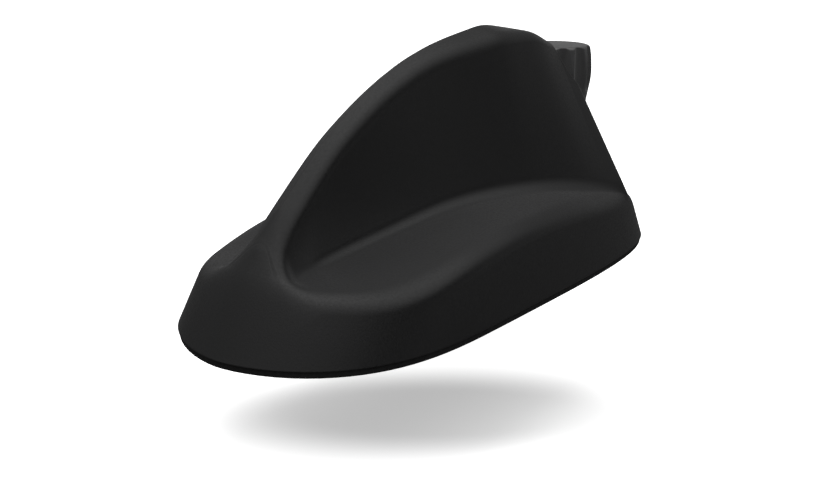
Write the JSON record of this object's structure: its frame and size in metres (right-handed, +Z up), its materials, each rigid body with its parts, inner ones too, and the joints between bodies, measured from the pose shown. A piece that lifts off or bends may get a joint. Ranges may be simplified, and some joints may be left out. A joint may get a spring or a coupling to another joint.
{
  "type": "shark fin aerial",
  "caption": "Black moulded shark fin vehicle aerial with scooped flanks, a roof gasket, a hollow mounting stud and a fluted cap on the whip mount behind the fin.",
  "frame": {"origin": "where the axis of the mounting stud meets the underside of the gasket, at the level of the roof", "axes": "+X towards the nose (forward on the vehicle), +Y to the left side, +Z up"},
  "size_m": [0.19, 0.0886, 0.1009],
  "materials": {
    "moulded_cover": "matte black, finely grained",
    "moulded_cap": "matte black, finely grained",
    "cast_plate": "die cast light alloy, satin",
    "seal_rubber": "matte black rubber",
    "gasket_foam": "closed cell foam rubber, dark",
    "plated_steel": "zinc plated",
    "laminate": "green circuit laminate",
    "ceramic": "fired ceramic with a silvered face",
    "contact_brass": "bright brass",
    "white_plastic": "natural white plastic"
  },
  "bodies": {
    "root": {"radome": "moulded_cover", "whip_cap": "moulded_cap", "base_plate": "cast_plate", "cover_seal": "seal_rubber", "roof_gasket": "gasket_foam", "mounting_stud": "plated_steel", "stud_seal": "seal_rubber", "cable_grommet": "seal_rubber", "main_board": "laminate", "board_screws": "plated_steel", "cover_screws": "plated_steel", "gnss_patch": "ceramic", "gnss_feed_pin": "contact_brass", "lna_shield": "plated_steel", "coax_sockets": "contact_brass", "fin_element": "laminate", "element_holder": "white_plastic", "wifi_element_left": "laminate", "wifi_element_right": "laminate", "whip_feed_strip": "contact_brass", "whip_collar": "contact_brass", "whip_insulator": "white_plastic", "whip_contact": "contact_brass", "cap_seal": "seal_rubber"}
  },
  "joints": []
}
